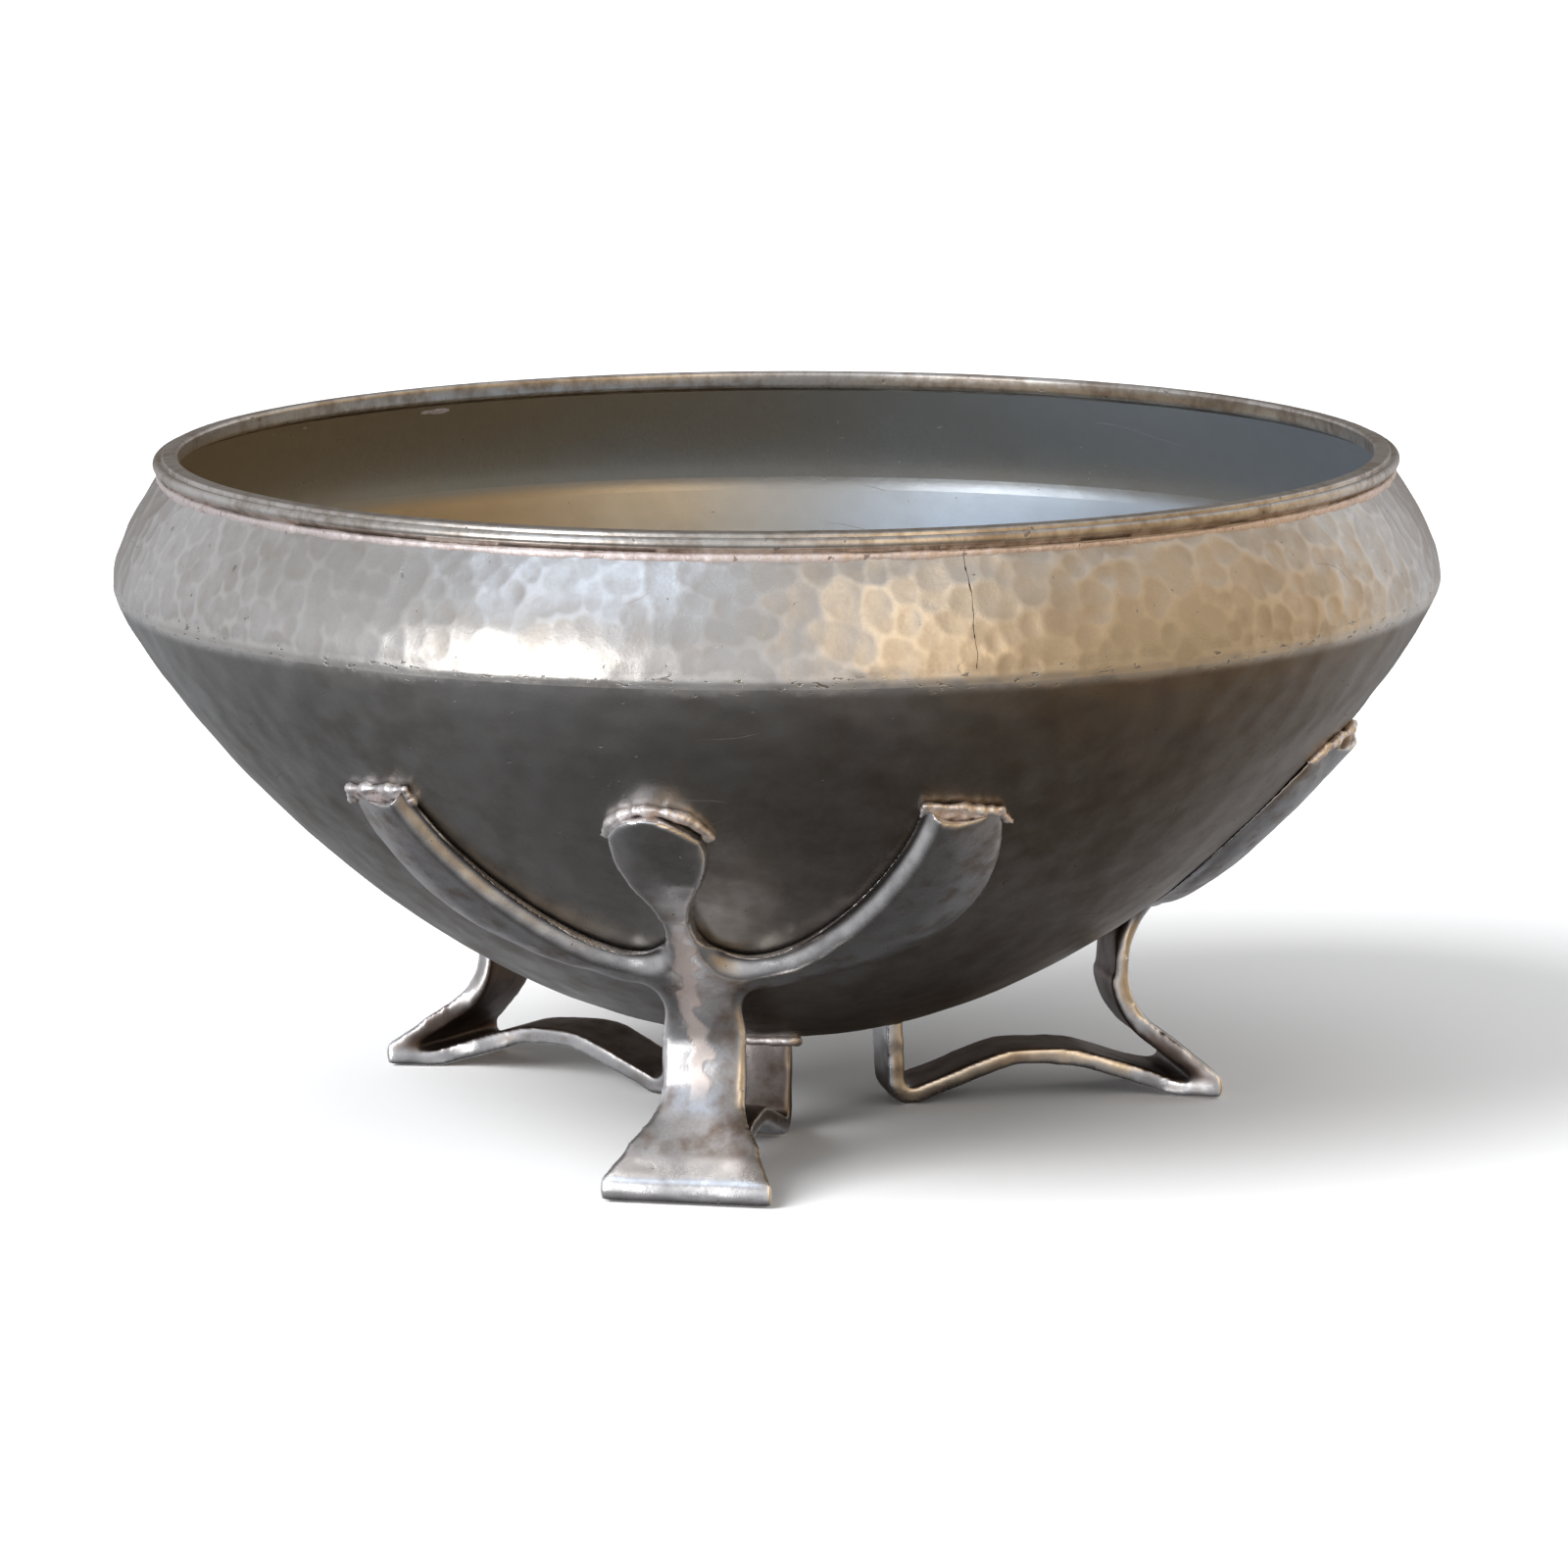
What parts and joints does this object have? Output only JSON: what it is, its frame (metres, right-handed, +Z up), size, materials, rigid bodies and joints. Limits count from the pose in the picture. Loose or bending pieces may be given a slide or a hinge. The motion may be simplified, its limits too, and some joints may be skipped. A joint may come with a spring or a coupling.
{
  "type": "footed bowl",
  "caption": "Hammered metal bowl with an incurved shoulder band, a moulded rim and bent-strap feet whose trident ends are soldered to the underside.",
  "frame": {"origin": "on the ground plane, on the axis of the bowl, midway between the feet", "axes": "+Z up along the axis of the bowl; the front foot points to -Y, the other feet to 24 and 156 degrees from +X"},
  "size_m": [0.28, 0.28, 0.1426],
  "materials": {
    "bowl": "hammered and patinated dark, over a silvery tinned surface",
    "shoulder": "planished with small round hammer marks, satin worn silver with warm patches",
    "rim": "satin, worn bright on the outer edge and brown in the groove",
    "foot": "burnished, worn bright on the edges and brown in the hollows",
    "solder": "pale soft solder, lumpy and dull"
  },
  "bodies": {
    "root": {"lower_bowl": "bowl", "shoulder_band": "shoulder", "band_butt_solder": "solder", "fold_solder": "shoulder", "rim_ring": "rim", "rim_solder": "solder", "leg_front": "foot", "bud_solder_front": "solder", "arm_solder_a_front": "solder", "arm_solder_b_front": "solder", "riser_solder_front": "solder", "leg_right": "foot", "bud_solder_right": "solder", "arm_solder_a_right": "solder", "arm_solder_b_right": "solder", "riser_solder_right": "solder", "leg_left": "foot", "bud_solder_left": "solder", "arm_solder_a_left": "solder", "arm_solder_b_left": "solder", "riser_solder_left": "solder"}
  },
  "joints": []
}
